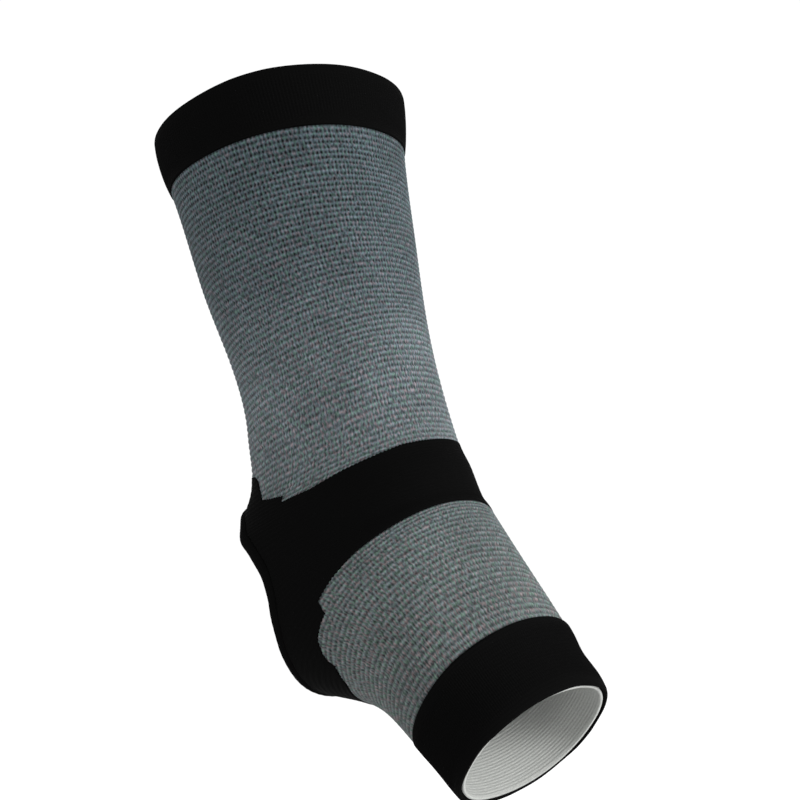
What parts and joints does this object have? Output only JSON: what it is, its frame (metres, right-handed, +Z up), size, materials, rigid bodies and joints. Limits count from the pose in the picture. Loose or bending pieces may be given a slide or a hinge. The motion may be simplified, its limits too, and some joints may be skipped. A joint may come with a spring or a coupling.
{
  "type": "open-heel knitted ankle brace",
  "caption": "Knitted elastic ankle brace in its worn form: grey ribbed leg and foot tubes, black cuffs and a black band round the ankle with an open heel.",
  "frame": {"origin": "middle of the ankle joint that the brace is worn on, inside the hollow, held there by the leg and foot", "axes": "+Z up along the lower leg, +X forward to the toes, +Y to the wearer's left; the foot points down about 50 degrees below level"},
  "size_m": [0.1517, 0.0942, 0.2678],
  "materials": {
    "grey_heather_knit": "ribbed elastic knit of blue-grey heather yarn, matt and slightly fuzzy",
    "black_knit": "close elastic knit of black yarn, matt",
    "pale_grey_knit": "plain inner face of the knit in light grey yarn, matt"
  },
  "bodies": {
    "root": {"top_cuff": "black_knit", "top_cuff_facing": "pale_grey_knit", "leg_sleeve": "grey_heather_knit", "heel_band": "black_knit", "heel_opening_hem": "black_knit", "foot_sleeve": "grey_heather_knit", "toe_cuff": "black_knit", "toe_cuff_facing": "pale_grey_knit"}
  },
  "joints": []
}
